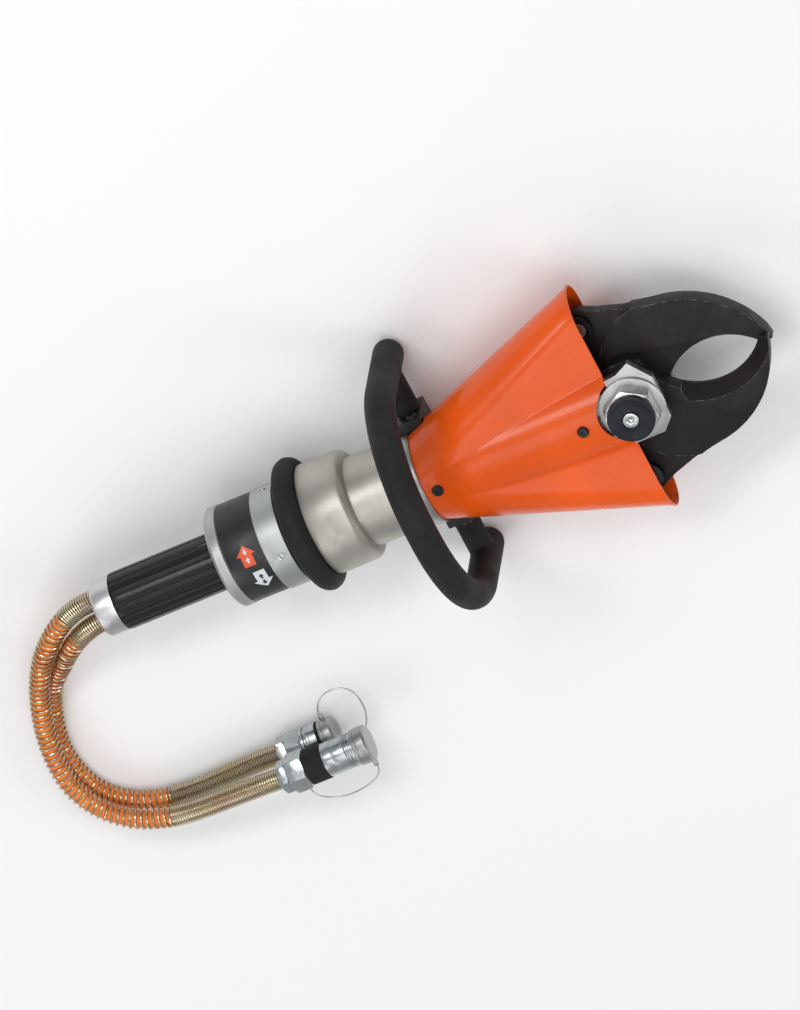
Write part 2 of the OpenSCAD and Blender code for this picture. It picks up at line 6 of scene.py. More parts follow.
import bmesh
import bpy
import numpy as np
from mathutils import Matrix, Vector


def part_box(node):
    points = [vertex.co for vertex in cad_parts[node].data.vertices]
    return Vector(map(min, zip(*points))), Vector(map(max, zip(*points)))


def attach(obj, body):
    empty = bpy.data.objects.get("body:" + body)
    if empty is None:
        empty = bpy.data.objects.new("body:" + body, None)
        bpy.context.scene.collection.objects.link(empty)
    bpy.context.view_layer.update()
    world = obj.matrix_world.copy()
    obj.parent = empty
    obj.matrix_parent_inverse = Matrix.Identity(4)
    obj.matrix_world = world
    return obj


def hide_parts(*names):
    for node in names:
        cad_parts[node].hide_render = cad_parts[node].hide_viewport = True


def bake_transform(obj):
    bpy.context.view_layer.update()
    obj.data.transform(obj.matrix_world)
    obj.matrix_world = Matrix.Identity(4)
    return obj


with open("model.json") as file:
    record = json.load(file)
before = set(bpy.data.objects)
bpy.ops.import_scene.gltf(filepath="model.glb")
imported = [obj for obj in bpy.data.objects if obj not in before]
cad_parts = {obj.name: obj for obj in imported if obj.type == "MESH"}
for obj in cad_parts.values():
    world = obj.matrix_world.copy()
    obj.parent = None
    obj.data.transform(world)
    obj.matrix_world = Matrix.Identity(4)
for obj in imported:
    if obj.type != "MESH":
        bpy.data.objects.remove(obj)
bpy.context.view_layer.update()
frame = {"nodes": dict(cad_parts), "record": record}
MM = 0.001


# ---------- places, from the frame ----------

def middle(node):
    low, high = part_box(node)
    return (low + high) / 2


def x_range(node):
    """First and last station of a node along the tool, in millimetres."""
    low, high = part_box(node)
    return low.x / MM, high.x / MM


def radius_of(node):
    """Outer radius of a node that is turned about an axis along X, in millimetres."""
    low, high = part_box(node)
    return (high.y - low.y) / 2 / MM


AXIS = Vector((0, middle("cylinder_barrel").y, middle("cylinder_barrel").z))
PIVOT = middle("centre_bolt")
COUPLER_A = Vector((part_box("hose_nut_a")[0].x, middle("hose_nut_a").y, middle("hose_nut_a").z))
COUPLER_B = Vector((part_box("hose_nut_b")[0].x, middle("hose_nut_b").y, middle("hose_nut_b").z))


# ---------- camera ----------

TARGET = Vector((-0.046, -0.018, 0.069))
VIEW_RIGHT = Vector((0.8935, -0.4411, -0.0800))
VIEW_UP = Vector((0.3661, 0.8209, -0.4374))
CAMERA_DISTANCE = 20.0
VIEW_HEIGHT = 0.98


def add_camera():
    """The camera looks down on the tool, rolled so that the blades point up to the right."""
    toward = VIEW_RIGHT.cross(VIEW_UP).normalized()
    right = VIEW_UP.cross(toward).normalized()
    up = toward.cross(right)
    data = bpy.data.cameras.new("camera")
    data.sensor_fit = "VERTICAL"
    data.sensor_height = 24
    data.lens = data.sensor_height * CAMERA_DISTANCE / VIEW_HEIGHT
    data.clip_end = 50
    camera = bpy.data.objects.new("camera", data)
    bpy.context.scene.collection.objects.link(camera)
    turn = Matrix((right, up, toward)).transposed().to_4x4()
    camera.matrix_world = Matrix.Translation(TARGET + toward * CAMERA_DISTANCE) @ turn
    bpy.context.scene.camera = camera


add_camera()


# ---------- mesh helpers ----------

def new_object(name, mesh):
    obj = bpy.data.objects.new(name, mesh)
    bpy.context.scene.collection.objects.link(obj)
    return obj


def mesh_object(name, points, faces):
    """An object from points in metres and faces, with doubled points merged and normals outwards."""
    mesh = bpy.data.meshes.new(name)
    mesh.from_pydata([tuple(p) for p in points], [], faces)
    bm = bmesh.new()
    bm.from_mesh(mesh)
    bmesh.ops.remove_doubles(bm, verts=bm.verts, dist=1e-6)
    bmesh.ops.recalc_face_normals(bm, faces=bm.faces)
    bm.to_mesh(mesh)
    bm.free()
    return new_object(name, mesh)


def object_of(name, bm):
    """An object from a bmesh, which is used up."""
    mesh = bpy.data.meshes.new(name)
    bm.to_mesh(mesh)
    bm.free()
    return new_object(name, mesh)


def ring_faces(rows, sides, closed=False):
    """Quads between rows of points round a ring. In a closed body the last row joins the first."""
    faces = []
    for i in range(rows if closed else rows - 1):
        j = (i + 1) % rows
        for k in range(sides):
            m = (k + 1) % sides
            faces.append((i * sides + k, i * sides + m, j * sides + m, j * sides + k))
    return faces


def apply_modifiers(obj):
    bpy.context.view_layer.update()
    graph = bpy.context.evaluated_depsgraph_get()
    mesh = bpy.data.meshes.new_from_object(obj.evaluated_get(graph))
    obj.modifiers.clear()
    obj.data = mesh


def shade(obj, angle=35):
    """Smooth shading, sharp only where faces meet at more than the angle in degrees."""
    obj.data.shade_smooth()
    obj.data.set_sharp_from_angle(angle=math.radians(angle))


def bevel(obj, width, segments=2, angle=32):
    """Rounds the edges sharper than the angle, by a width in millimetres."""
    modifier = obj.modifiers.new("bevel", "BEVEL")
    modifier.width = width * MM
    modifier.segments = segments
    modifier.limit_method = "ANGLE"
    modifier.angle_limit = math.radians(angle)
    modifier.miter_outer = "MITER_ARC"
    apply_modifiers(obj)


def combine(obj, other, operation="DIFFERENCE"):
    """A boolean of two objects. The other object is used up."""
    modifier = obj.modifiers.new("combine", "BOOLEAN")
    modifier.object = other
    modifier.operation = operation
    modifier.solver = "EXACT"
    apply_modifiers(obj)
    bpy.data.objects.remove(other)


def copy_of(node, width, name=None, segments=2):
    """A new piece with a CAD node's shape and with its edges rounded by a width in millimetres."""
    mesh = frame["nodes"][node].data.copy()
    mesh.materials.clear()
    bm = bmesh.new()
    bm.from_mesh(mesh)
    bmesh.ops.remove_doubles(bm, verts=bm.verts, dist=2e-6)
    bmesh.ops.dissolve_limit(bm, angle_limit=math.radians(1), verts=bm.verts, edges=bm.edges)
    bm.to_mesh(mesh)
    bm.free()
    obj = new_object(name or node + "_look", mesh)
    if width:
        bevel(obj, width, segments)
    shade(obj)
    return obj


def rounded(outline, radius, steps=4):
    """The outline with each inner corner rounded by a radius, or by as much as fits."""
    points = [Vector(p) for p in outline]
    out = [points[0]]
    for before, corner, after in zip(points, points[1:], points[2:]):
        a, b = before - corner, after - corner
        half = a.angle(b) / 2
        if half > math.radians(88) or half < math.radians(2):
            out.append(corner)
            continue
        back = min(radius / math.tan(half), 0.48 * a.length, 0.48 * b.length)
        start, end = corner + a.normalized() * back, corner + b.normalized() * back
        for i in range(steps + 1):
            t = i / steps
            out.append(start.lerp(corner, t).lerp(corner.lerp(end, t), t))
    out.append(points[-1])
    return out


def turned(name, outline, centre=AXIS, sides=128, ring=False):
    """A body turned about an axis along X, from an outline of (station, radius) in millimetres."""
    points = []
    for x, r in outline:
        for k in range(sides):
            a = 2 * math.pi * k / sides
            points.append((x * MM, centre.y + r * MM * math.cos(a), centre.z + r * MM * math.sin(a)))
    obj = mesh_object(name, points, ring_faces(len(outline), sides, closed=ring))
    shade(obj)
    return obj


def hexagon(name, centre, corner_r, x0, x1, turn, chamfer=1.6):
    """A hexagon along X with turned corners, as on a nut. Stations and radii are in millimetres."""
    points = []
    for x in (x0, x1):
        for k in range(6):
            a = math.radians(60 * k + turn)
            y = centre.y + corner_r * MM * math.cos(a)
            z = centre.z + corner_r * MM * math.sin(a)
            points.append((x * MM, y, z))
    faces = [tuple(range(6)), tuple(range(11, 5, -1))]
    faces += [(k, (k + 1) % 6, (k + 1) % 6 + 6, k + 6) for k in range(6)]
    obj = mesh_object(name, points, faces)
    flat = corner_r * math.cos(math.pi / 6)
    barrel = turned(name + "_barrel", [
        (x0 - 1, 0), (x0 - 1, flat - 1), (x0, flat - 0.2), (x0 + chamfer, corner_r + 0.2),
        (x1 - chamfer, corner_r + 0.2), (x1, flat - 0.2), (x1 + 1, flat - 1), (x1 + 1, 0),
    ], centre, 96)
    combine(obj, barrel, "INTERSECT")
    bevel(obj, 0.35)
    shade(obj)
    return obj


def unit_rows(v):
    return v / np.linalg.norm(v, axis=1, keepdims=True)


def smooth_path(route, step=1.0):
    """Evenly spaced points on one smooth curve through the route, in millimetres."""
    p = np.array(route, float)
    p = np.vstack([2 * p[0] - p[1], p, 2 * p[-1] - p[-2]])
    fine = []
    for i in range(1, len(p) - 2):
        a, b, c, d = p[i - 1:i + 3]
        for t in np.linspace(0, 1, 16, endpoint=False):
            bend = (2 * a - 5 * b + 4 * c - d) * t * t + (3 * b - 3 * c + d - a) * t ** 3
            fine.append(0.5 * (2 * b + (c - a) * t + bend))
    fine.append(p[-2])
    fine = np.array(fine)
    along = np.concatenate([[0], np.cumsum(np.linalg.norm(np.diff(fine, axis=0), axis=1))])
    even = np.linspace(0, along[-1], int(round(along[-1] / step)) + 1)
    return np.column_stack([np.interp(even, along, fine[:, k]) for k in range(3)])


def path_frames(path):
    """Direction and two cross directions at each point, carried along without twisting."""
    ahead = unit_rows(np.gradient(path, axis=0))
    side = np.cross(ahead[0], [0, 0, 1])
    if np.linalg.norm(side) < 0.1:
        side = np.cross(ahead[0], [0, 1, 0])
    sides = []
    for t in ahead:
        side = side - t * np.dot(side, t)
        side = side / np.linalg.norm(side)
        sides.append(side)
    sides = np.array(sides)
    return ahead, sides, np.cross(ahead, sides)


def tube(name, path, radius, sides=24):
    """A closed round tube along a path. Sizes are in millimetres, and radius may change along it."""
    _, u, v = path_frames(path)
    radii = np.broadcast_to(np.asarray(radius, float), (len(path),))
    a = 2 * np.pi * np.arange(sides) / sides
    ring = np.cos(a)[None, :, None] * u[:, None] + np.sin(a)[None, :, None] * v[:, None]
    points = (path[:, None] + ring * radii[:, None, None]).reshape(-1, 3) * MM
    faces = [tuple(range(sides))]
    last = (len(path) - 1) * sides
    faces.append(tuple(last + k for k in reversed(range(sides))))
    obj = mesh_object(name, points, faces + ring_faces(len(path), sides))
    shade(obj, 50)
    return obj


def helix(name, path, coil_r, wire_r, pitch_at, proud_at, per_turn=20, sides=7):
    """A wire wound round a path. pitch_at gives the pitch at each distance along the path, and
    proud_at how far the coil stands off to the outside of the bend there."""
    along = np.concatenate([[0], np.cumsum(np.linalg.norm(np.diff(path, axis=0), axis=1))])
    turns = np.concatenate([[0], np.cumsum(np.diff(along) / pitch_at(along[1:]))])
    ahead, u, v = path_frames(path)
    curve = np.gradient(ahead, axis=0)
    outward = -curve / np.maximum(np.linalg.norm(curve, axis=1, keepdims=True), 1e-6)
    steps = np.linspace(0, turns[-1], int(turns[-1] * per_turn))
    s = np.interp(steps, turns, along)

    def at(values):
        return np.column_stack([np.interp(s, along, values[:, k]) for k in range(3)])

    angle = 2 * np.pi * steps[:, None]
    centre = at(path) + at(outward) * proud_at(s)[:, None]
    wire = centre + coil_r * (np.cos(angle) * at(u) + np.sin(angle) * at(v))
    return tube(name, wire, wire_r, sides)


# ---------- materials ----------

class Nodes:
    """Short ways to add and join shader nodes."""

    def __init__(self, name):
        self.material = bpy.data.materials.new(name)
        self.material.use_nodes = True
        self.tree = self.material.node_tree
        self.shader = self.tree.nodes["Principled BSDF"]
        self.coordinates = self.tree.nodes.new("ShaderNodeTexCoord").outputs["Object"]

    def join(self, source, target):
        self.tree.links.new(source, target)

    def scaled(self, scale):
        """Object coordinates, scaled by three numbers."""
        node = self.tree.nodes.new("ShaderNodeMapping")
        node.inputs["Scale"].default_value = scale
        self.join(self.coordinates, node.inputs["Vector"])
        return node.outputs["Vector"]

    def noise(self, scale, detail=3.0, vector=None):
        node = self.tree.nodes.new("ShaderNodeTexNoise")
        node.inputs["Scale"].default_value = scale
        node.inputs["Detail"].default_value = detail
        self.join(vector or self.coordinates, node.inputs["Vector"])
        return node.outputs["Fac"]

    def ramp(self, value, low, high, start=0.0, end=1.0):
        """Maps value from low..high to start..end, held at both ends."""
        node = self.tree.nodes.new("ShaderNodeMapRange")
        node.inputs["From Min"].default_value = low
        node.inputs["From Max"].default_value = high
        node.inputs["To Min"].default_value = start
        node.inputs["To Max"].default_value = end
        self.join(value, node.inputs["Value"])
        return node.outputs["Result"]

    def mix(self, factor, first, second):
        """A mix of two colours, each a tuple or a socket."""
        node = self.tree.nodes.new("ShaderNodeMix")
        node.data_type = "RGBA"
        self.join(factor, node.inputs["Factor"])
        for value, socket in ((first, node.inputs["A"]), (second, node.inputs["B"])):
            if isinstance(value, tuple):
                socket.default_value = (*value, 1)
            else:
                self.join(value, socket)
        return node.outputs["Result"]

    def edges(self, width):
        """Nearly 1 along sharp outer edges and 0 elsewhere, for a width in metres."""
        wide = self.tree.nodes.new("ShaderNodeBevel")
        wide.inputs["Radius"].default_value = width
        wide.samples = 4
        plain = self.tree.nodes.new("ShaderNodeNewGeometry")
        dot = self.tree.nodes.new("ShaderNodeVectorMath")
        dot.operation = "DOT_PRODUCT"
        self.join(wide.outputs["Normal"], dot.inputs[0])
        self.join(plain.outputs["Normal"], dot.inputs[1])
        return self.ramp(dot.outputs["Value"], 0.995, 0.93)

    def times(self, first, second):
        node = self.tree.nodes.new("ShaderNodeMath")
        node.operation = "MULTIPLY"
        self.join(first, node.inputs[0])
        self.join(second, node.inputs[1])
        return node.outputs["Value"]

    def bump(self, height, strength, distance=0.001, under=None):
        node = self.tree.nodes.new("ShaderNodeBump")
        node.inputs["Strength"].default_value = strength
        node.inputs["Distance"].default_value = distance
        self.join(height, node.inputs["Height"])
        if under:
            self.join(under, node.inputs["Normal"])
        return node.outputs["Normal"]

    def set(self, **values):
        for name, value in values.items():
            self.shader.inputs[name.replace("_", " ")].default_value = value

    def finish(self, colour, roughness, normal):
        self.join(colour, self.shader.inputs["Base Color"])
        self.join(roughness, self.shader.inputs["Roughness"])
        self.join(normal, self.shader.inputs["Normal"])
        return self.material


def tone(colour, factor):
    return tuple(min(1.0, c * factor) for c in colour)


def enamel(name, colour):
    """Gloss paint with a faint orange peel, a little dust and bare edges."""
    n = Nodes(name)
    n.set(Coat_Weight=0.2, Coat_Roughness=0.08, IOR=1.45, Specular_IOR_Level=0.32)
    cloudy = n.noise(14, 4)
    base = n.mix(n.ramp(cloudy, 0.3, 0.7), tone(colour, 0.9), tone(colour, 1.06))
    worn = n.times(n.edges(0.0012), n.ramp(n.noise(260, 3), 0.5, 0.62))
    base = n.mix(worn, base, (0.42, 0.16, 0.08))
    dust = n.ramp(n.noise(900, 2), 0.68, 0.8, 0, 0.25)
    base = n.mix(dust, base, (0.75, 0.55, 0.42))
    rough = n.ramp(n.noise(60, 5), 0.3, 0.75, 0.2, 0.38)
    return n.finish(base, rough, n.bump(n.noise(420, 2), 0.06, 0.0004))


def rubber(name, colour, rough=0.62, grain=1800):
    """Moulded rubber with a fine grain and dusty patches."""
    n = Nodes(name)
    n.set(Specular_IOR_Level=0.25)
    base = n.mix(n.ramp(n.noise(35, 5), 0.35, 0.75), colour, tone(colour, 1.6))
    rubbed = n.times(n.edges(0.002), n.ramp(n.noise(120, 3), 0.42, 0.6, 0, 0.5))
    base = n.mix(rubbed, base, tone(colour, 3.0))
    level = n.ramp(n.noise(25, 4), 0.3, 0.7, rough - 0.1, rough + 0.1)
    return n.finish(base, level, n.bump(n.noise(grain, 3), 0.25, 0.0002))


def gloss_plastic(name, colour):
    """Hard glossy plastic with faint handling marks."""
    n = Nodes(name)
    n.set(IOR=1.45, Specular_IOR_Level=0.35, Coat_Weight=0.12, Coat_Roughness=0.15)
    base = n.mix(n.ramp(n.noise(20, 4), 0.3, 0.7), colour, tone(colour, 1.5))
    marks = n.noise(30, 6, n.scaled((12, 60, 60)))
    rough = n.ramp(marks, 0.35, 0.75, 0.2, 0.42)
    return n.finish(base, rough, n.bump(n.noise(700, 2), 0.05, 0.0003))


def satin_plastic(name, colour, rough=0.4):
    n = Nodes(name)
    base = n.mix(n.ramp(n.noise(40, 3), 0.3, 0.7), tone(colour, 0.88), tone(colour, 1.1))
    level = n.ramp(n.noise(90, 4), 0.3, 0.7, rough - 0.07, rough + 0.09)
    return n.finish(base, level, n.bump(n.noise(1500, 2), 0.08, 0.0002))


def turned_metal(name, colour, rough=0.3, lines=0.25, blast=0.0):
    """Lathe-turned metal: fine rings along X under light stains, with brighter edges."""
    n = Nodes(name)
    n.set(Metallic=1.0, Anisotropic=0.35)
    rings = n.noise(60, 3, n.scaled((60, 0.6, 0.6)))
    stain = n.noise(22, 5)
    base = n.mix(n.ramp(stain, 0.3, 0.72), tone(colour, 0.86), tone(colour, 1.06))
    base = n.mix(n.ramp(rings, 0.4, 0.7, 0, 0.3), base, tone(colour, 0.8))
    base = n.mix(n.times(n.edges(0.001), n.ramp(stain, 0.35, 0.55)), base, tone(colour, 1.25))
    level = n.ramp(rings, 0.25, 0.75, rough - 0.08, rough + 0.12)
    normal = n.bump(rings, lines, 0.0001)
    if blast:
        normal = n.bump(n.noise(2400, 2), blast, 0.0001, normal)
    return n.finish(base, level, normal)


def machined_metal(name, colour, rough=0.3, metallic=1.0):
    """Milled or ground metal with fine scratches and cleaner edges."""
    n = Nodes(name)
    n.set(Metallic=metallic, Anisotropic=0.2)
    scratches = n.noise(45, 5, n.scaled((30, 4, 10)))
    stain = n.noise(45, 4)
    base = n.mix(n.ramp(stain, 0.3, 0.7), tone(colour, 0.82), tone(colour, 1.08))
    edge = n.times(n.edges(0.0009), n.ramp(n.noise(300, 2), 0.35, 0.55))
    base = n.mix(edge, base, tone(colour, 1.5))
    level = n.ramp(scratches, 0.3, 0.7, rough - 0.09, rough + 0.12)
    return n.finish(base, level, n.bump(scratches, 0.08, 0.0002))


def passivated_zinc(name, colours, rough=0.28, lines=0.15):
    """Zinc plating whose passivation shifts between three tints."""
    n = Nodes(name)
    n.set(Metallic=1.0)
    first, second, third = colours
    base = n.mix(n.ramp(n.noise(22, 2), 0.3, 0.7), first, second)
    base = n.mix(n.ramp(n.noise(30, 2), 0.45, 0.75, 0, 0.8), base, third)
    level = n.ramp(n.noise(160, 4), 0.3, 0.7, rough - 0.07, rough + 0.12)
    rings = n.noise(60, 3, n.scaled((50, 0.8, 0.8)))
    return n.finish(base, level, n.bump(rings, lines, 0.0001))


def forged_steel(name, colour):
    """Blackened forged steel: a fine cast grain, faint grinding marks and rubbed edges."""
    n = Nodes(name)
    n.set(Metallic=0.2, Specular_IOR_Level=0.28)
    cloud = n.noise(26, 5)
    base = n.mix(n.ramp(cloud, 0.35, 0.7), colour, tone(colour, 1.9))
    edge = n.times(n.edges(0.0014), n.ramp(n.noise(180, 4), 0.44, 0.62))
    base = n.mix(edge, base, (0.2, 0.185, 0.17))
    level = n.ramp(n.noise(70, 5), 0.3, 0.7, 0.4, 0.58)
    grind = n.noise(40, 4, n.scaled((8, 40, 8)))
    normal = n.bump(n.noise(1300, 3), 0.16, 0.0002)
    return n.finish(base, level, n.bump(grind, 0.1, 0.0002, normal))


MATERIALS = {
    "cap_aluminium": turned_metal("cap_aluminium", (0.64, 0.63, 0.64), 0.34, 0.35),
    "housing_silver": turned_metal("housing_silver", (0.50, 0.515, 0.505), 0.48, 0.1, 0.2),
    "cylinder_champagne": turned_metal("cylinder_champagne", (0.53, 0.505, 0.45), 0.45, 0.12, 0.15),
    "grip_black": gloss_plastic("grip_black", (0.005, 0.005, 0.006)),
    "label_black": satin_plastic("label_black", (0.012, 0.012, 0.014), 0.4),
    "rubber_black": rubber("rubber_black", (0.011, 0.011, 0.0115), 0.66),
    "hose_orange": rubber("hose_orange", (0.80, 0.19, 0.035), 0.42, 900),
    "guard_orange": enamel("guard_orange", (0.84, 0.10, 0.004)),
    "blade_black": forged_steel("blade_black", (0.012, 0.010, 0.009)),
    "steel_black": machined_metal("steel_black", (0.02, 0.02, 0.022), 0.38, 0.4),
    "steel_bright": machined_metal("steel_bright", (0.56, 0.57, 0.565), 0.24),
    "steel_satin": machined_metal("steel_satin", (0.47, 0.475, 0.46), 0.38),
    "steel_dark": turned_metal("steel_dark", (0.035, 0.036, 0.042), 0.4, 0.3),
    "bronze": turned_metal("bronze", (0.62, 0.42, 0.20), 0.3),
    "zinc_blue": passivated_zinc(
        "zinc_blue", ((0.40, 0.45, 0.46), (0.50, 0.54, 0.54), (0.47, 0.45, 0.43)), 0.26
    ),
    "zinc_gold": passivated_zinc(
        "zinc_gold", ((0.50, 0.42, 0.24), (0.58, 0.52, 0.38), (0.55, 0.40, 0.37)), 0.24, 0.05
    ),
    "cap_grey": turned_metal("cap_grey", (0.42, 0.42, 0.42), 0.38, 0.3),
    "mark_red": satin_plastic("mark_red", (0.80, 0.10, 0.025), 0.35),
    "mark_white": satin_plastic("mark_white", (0.68, 0.70, 0.72), 0.35),
}
SLOTS = {row["node"]: row["material_slot"] for row in frame["record"]["subparts"]}
BODIES = {
    node: body
    for body, nodes in frame["record"]["behaviour"]["bodies"].items()
    for node in nodes
}


def place(obj, node, *more, material=None):
    """The piece stands for a CAD node, and for more nodes if they are named, and rides on its body."""
    name = material or SLOTS[node]
    obj.data.materials.clear()
    obj.data.materials.append(MATERIALS[name])
    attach(obj, BODIES[node])
    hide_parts(node, *more)
    return obj


def add_detail(obj, node, material=None):
    """A small piece that rides with a node's body and takes the node's place in no way."""
    obj.data.materials.clear()
    obj.data.materials.append(MATERIALS[material or SLOTS[node]])
    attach(obj, BODIES[node])
    return obj


for cad_node, cad_object in frame["nodes"].items():
    cad_object.data.materials.clear()
    cad_object.data.materials.append(MATERIALS[SLOTS[cad_node]])


# ---------- hoses, spring guards and lanyards ----------

HOSE_A = [
    (-355, 11.5, 69), (-370, 11.5, 69), (-388, 8.5, 68), (-406, 0.5, 65), (-427, -15, 58),
    (-449, -38, 48), (-468, -69, 39), (-482, -105, 35), (-489, -142, 33.5), (-487, -177, 33.5),
    (-473, -208, 33.5), (-448, -231, 34.5), (-416, -242.5, 38), (-382, -245, 43),
    (-348, -244, 48), (-315, -243, 52.5), (-288, -243, 54.5),
]
HOSE_B = [
    (-355, -11.5, 69), (-368, -12, 69), (-382, -15, 67), (-397, -21.5, 62), (-414, -33, 52),
    (-434, -51, 34), (-459, -76, 18), (-476, -109, 11.3), (-484, -143.5, 11), (-481, -175, 11),
    (-468, -203, 11), (-445, -223, 11), (-415, -234, 11.2), (-381, -237, 12),
    (-347, -236, 13.5), (-314, -234, 16), (-288, -234, 17.5),
]
LANYARD_A = [
    (-196, -265.8, 54.5), (-196, -271, 53), (-200, -279, 49.5), (-210, -286, 46),
    (-223, -290, 44), (-237, -291, 43), (-251, -289, 42), (-262, -283, 43), (-268, -275, 45),
    (-269, -267, 47), (-268, -260.8, 49),
]
LANYARD_B = [
    (-234, -213.1, 17.5), (-233, -206, 20), (-228, -197, 22), (-218, -190, 24), (-206, -189, 25),
    (-196, -193, 25), (-190, -202, 24), (-189, -214, 22), (-191, -227, 19), (-198, -241, 14.5),
    (-209, -254, 11), (-226, -258, 9), (-241, -258, 9), (-254, -256, 11), (-262, -250.2, 14),
]
HOSE_R = 8.5
COIL_R = 9.75
WIRE_R = 1.2
CLOSE_PITCH = 2.5
OPEN_PITCH = 6.2
FIRST_CLOSE = 40
LAST_CLOSE = 118
OPENING_OVER = 8
CLOSING_OVER = 10
# How far the open coils stand off to the outside of a bend
OPEN_STAND_OFF = 0.05
LANYARD_R = 0.8
# The spring guard starts this many points along its hose's path
SPRING_START = 4


def hose_spring(name, path):
    """The spring guard: close wound at both ends of the hose and open over the bend."""
    total = np.linalg.norm(np.diff(path, axis=0), axis=1).sum()

    def openness(s):
        rise = np.clip((s - FIRST_CLOSE) / OPENING_OVER, 0, 1)
        fall = np.clip((total - LAST_CLOSE - s) / CLOSING_OVER, 0, 1)
        return rise * fall

    def pitch_at(s):
        return CLOSE_PITCH + (OPEN_PITCH - CLOSE_PITCH) * openness(s)

    def proud_at(s):
        return OPEN_STAND_OFF * openness(s)

    return helix(name, path, COIL_R, WIRE_R, pitch_at, proud_at)


def lanyard(name, route):
    """A thin wire rope for a dust cap, laid along its route."""
    path = smooth_path(route, 1.0)
    obj = tube(name + "_rope", path, LANYARD_R, 10)
    obj.data.materials.append(MATERIALS["steel_bright"])
    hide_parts(name)
    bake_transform(obj)
    return obj, path * MM


hose_a_path = smooth_path(HOSE_A)
hose_b_path = smooth_path(HOSE_B)
hose_a = place(tube("hose_a_tube", hose_a_path, HOSE_R, 28), "hose_a")
hose_b = place(tube("hose_b_tube", hose_b_path, HOSE_R, 28), "hose_b")
spring_a = place(hose_spring("spring_guard_a_wire", hose_a_path[SPRING_START:]), "spring_guard_a")
spring_b = place(hose_spring("spring_guard_b_wire", hose_b_path[SPRING_START:]), "spring_guard_b")
rope_a, rope_a_path = lanyard("lanyard_a", LANYARD_A)
rope_b, rope_b_path = lanyard("lanyard_b", LANYARD_B)


# ---------- couplers ----------

def from_start(centre, outline):
    """An outline with its stations counted from a coupler's hose end."""
    return [(centre.x / MM + x, r) for x, r in outline]


def knurled(name, centre, r, x0, x1, teeth, depth):
    """A sleeve with a straight knurl and rounded ends, about an axis along X."""
    sides = teeth * 6
    stations = rounded([(x0, r - 3), (x0, r), (x1, r), (x1, r - 3)], 0.9, 3)
    points = []
    for x, radius in stations:
        inside = min(1.0, min(x - x0, x1 - x) / 1.2) if radius > r - 0.7 else 0.0
        for k in range(sides):
            a = 2 * math.pi * k / sides
            dip = depth * max(0.0, inside) * (0.5 - 0.5 * math.cos(teeth * a)) ** 2
            q = (radius - dip) * MM
            points.append((x * MM, centre.y + q * math.cos(a), centre.z + q * math.sin(a)))
    faces = ring_faces(len(stations), sides)
    faces.append(tuple(range(sides)))
    faces.append(tuple((len(stations) - 1) * sides + k for k in range(sides)))
    obj = mesh_object(name, points, faces)
    shade(obj, 40)
    return obj


CRIMP_R = 2.5
CRIMP_LENGTH = 7


def crimp(name, node, centre, station, r, toward):
    """The small sleeve on a cap's rim that holds the lanyard's end, with a hollow mouth."""
    mouth = [Vector((CRIMP_LENGTH - 0.8, 0))]
    outline = rounded([
        (0, 0), (0, CRIMP_R), (CRIMP_LENGTH, CRIMP_R), (CRIMP_LENGTH, 1.2),
    ], 0.5, 2) + mouth
    sides = 32
    points = []
    for h, q in outline:
        for k in range(sides):
            a = 2 * math.pi * k / sides
            points.append((
                centre.x + (station + q * math.cos(a)) * MM,
                centre.y + toward * (r - 0.6 + h) * MM,
                centre.z + q * math.sin(a) * MM,
            ))
    obj = mesh_object(name, points, ring_faces(len(outline), sides))
    shade(obj)
    return add_detail(obj, node)


def dust_cap(name, node, centre, start, r, depth):
    """A cast cap with a grooved rim, a chamfered face and a small centre dimple."""
    outline = [
        (start, 0), (start, r - 0.6), (start + 3.2, r - 0.2), (start + 3.5, r - 1.1),
        (start + 4.6, r - 1.1), (start + 5, r), (start + depth - 2.2, r),
        (start + depth, r - 2.2), (start + depth, 2.4), (start + depth - 1.0, 0),
    ]
    return place(turned(name, rounded(from_start(centre, outline), 0.6, 3), centre, 96), node)


nut_a = place(
    hexagon("hose_nut_a_hex", COUPLER_A, 17, COUPLER_A.x / MM, COUPLER_A.x / MM + 10, 30), "hose_nut_a"
)
nut_b = place(
    hexagon("hose_nut_b_hex", COUPLER_B, 16, COUPLER_B.x / MM, COUPLER_B.x / MM + 10, 30), "hose_nut_b"
)
body_a = place(
    hexagon("coupler_a_hex", COUPLER_A, 20.5, COUPLER_A.x / MM + 10, COUPLER_A.x / MM + 29, 30, 2.4),
    "coupler_body_a",
)
flanges_a = add_detail(turned("coupler_a_flanges", rounded(from_start(COUPLER_A, [
    (28.8, 10.2), (28.8, 13.9), (74, 13.9), (74, 17.4), (75.4, 17.4), (75.6, 16.2), (76.4, 16.2),
    (76.6, 17.4), (78, 17.4), (78, 15.8), (80, 15.8), (80, 17.4), (81.9, 17.4), (81.9, 10.2),
]), 0.4, 2), COUPLER_A, 96), "coupler_body_a")
sleeve_a = place(turned("coupler_a_sleeve", rounded(from_start(COUPLER_A, [
    (49, 14.1), (49, 17.4), (59.5, 17.4), (60, 16.9), (61, 16.9), (61.5, 17.4), (73.7, 17.4),
    (73.7, 14.1),
]), 0.7, 3), COUPLER_A, 96), "coupler_sleeve_a")
band_a = add_detail(
    knurled("coupler_a_band", COUPLER_A, 18.4, COUPLER_A.x / MM + 29.3, COUPLER_A.x / MM + 49, 40, 0.5),
    "coupler_sleeve_a", "rubber_black",
)
body_b = place(
    hexagon("coupler_b_hex", COUPLER_B, 18.3, COUPLER_B.x / MM + 10, COUPLER_B.x / MM + 27, 0, 2.2),
    "coupler_body_b",
)
